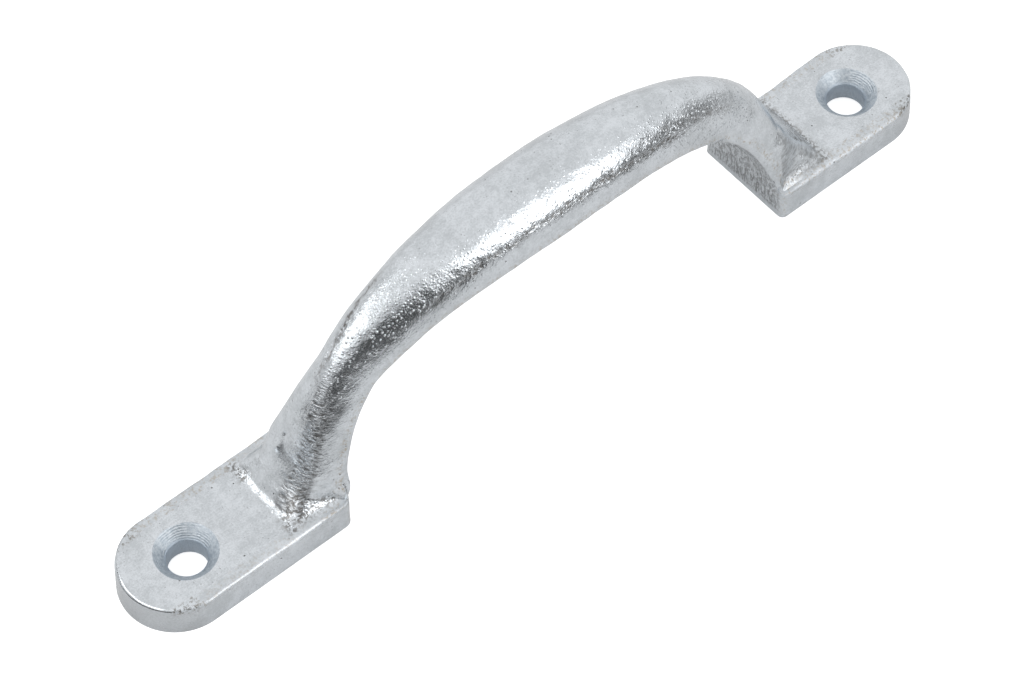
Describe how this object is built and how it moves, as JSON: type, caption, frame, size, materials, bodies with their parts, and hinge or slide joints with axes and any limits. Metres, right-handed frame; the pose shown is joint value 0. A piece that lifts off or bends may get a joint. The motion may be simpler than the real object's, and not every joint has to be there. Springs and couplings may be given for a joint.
{
  "type": "hot bed handle",
  "caption": "One-piece cast bow handle with two flat round-ended feet, each with a countersunk screw hole, and a domed grip that swells in the middle.",
  "frame": {"origin": "on the back of the feet, midway between the tips and between the long sides", "axes": "+X along the handle, +Y across it, +Z away from the surface it is screwed to"},
  "size_m": [0.125, 0.0148, 0.0335],
  "materials": {
    "zinc_casting": "bright zinc plate over a sand cast skin, pale blue-grey, satin with sparkling grain"
  },
  "bodies": {
    "root": {"handle": "zinc_casting"}
  },
  "joints": []
}
